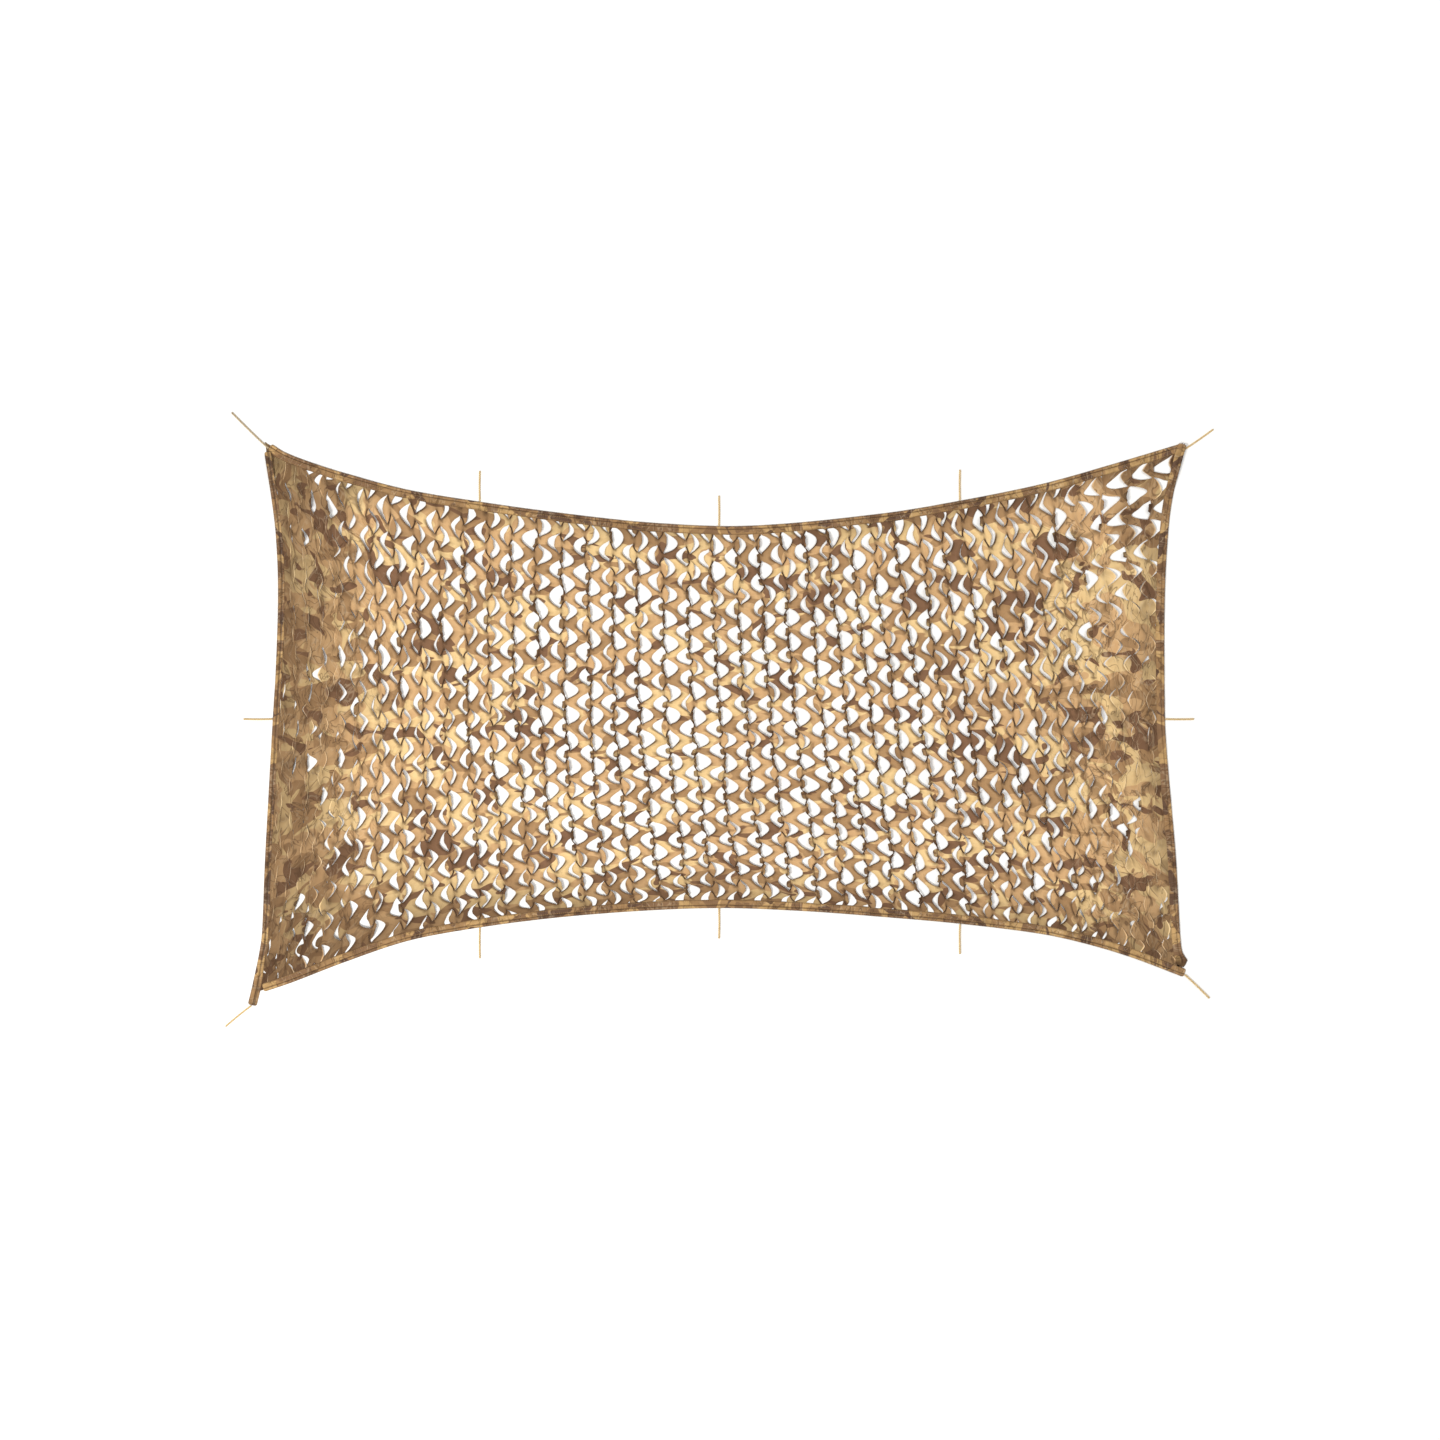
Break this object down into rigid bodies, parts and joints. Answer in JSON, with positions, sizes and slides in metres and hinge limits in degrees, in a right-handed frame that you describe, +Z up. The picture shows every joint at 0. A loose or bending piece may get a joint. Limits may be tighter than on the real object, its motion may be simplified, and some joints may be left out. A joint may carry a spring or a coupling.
{
  "type": "camouflage net",
  "caption": "Slit printed cloth drawn out into a net of zigzag ribbons and holes, bound with folded tape, with cord ties round its sides",
  "frame": {"origin": "on the surface that the net lies on, under the middle of the bound net without its ties", "axes": "+X along the net's length towards its right side, +Y across it towards its top edge, +Z up out of its printed face"},
  "size_m": [3.2134, 1.9997, 0.0147],
  "materials": {
    "cloth": "printed polyester in sand, tan and brown, soft sheen",
    "tape": "printed folded tape, matt",
    "tie": "straw-coloured twisted cord, matt"
  },
  "bodies": {
    "root": {"net_cloth": "cloth", "binding_top": "tape", "binding_bottom": "tape", "binding_left": "tape", "binding_right": "tape", "tie_top_left_corner": "tie", "tie_top_left": "tie", "tie_top_middle": "tie", "tie_top_right": "tie", "tie_top_right_corner": "tie", "tie_right": "tie", "tie_bottom_right_corner": "tie", "tie_bottom_right": "tie", "tie_bottom_middle": "tie", "tie_bottom_left": "tie", "tie_bottom_left_corner": "tie", "tie_left": "tie"}
  },
  "joints": []
}
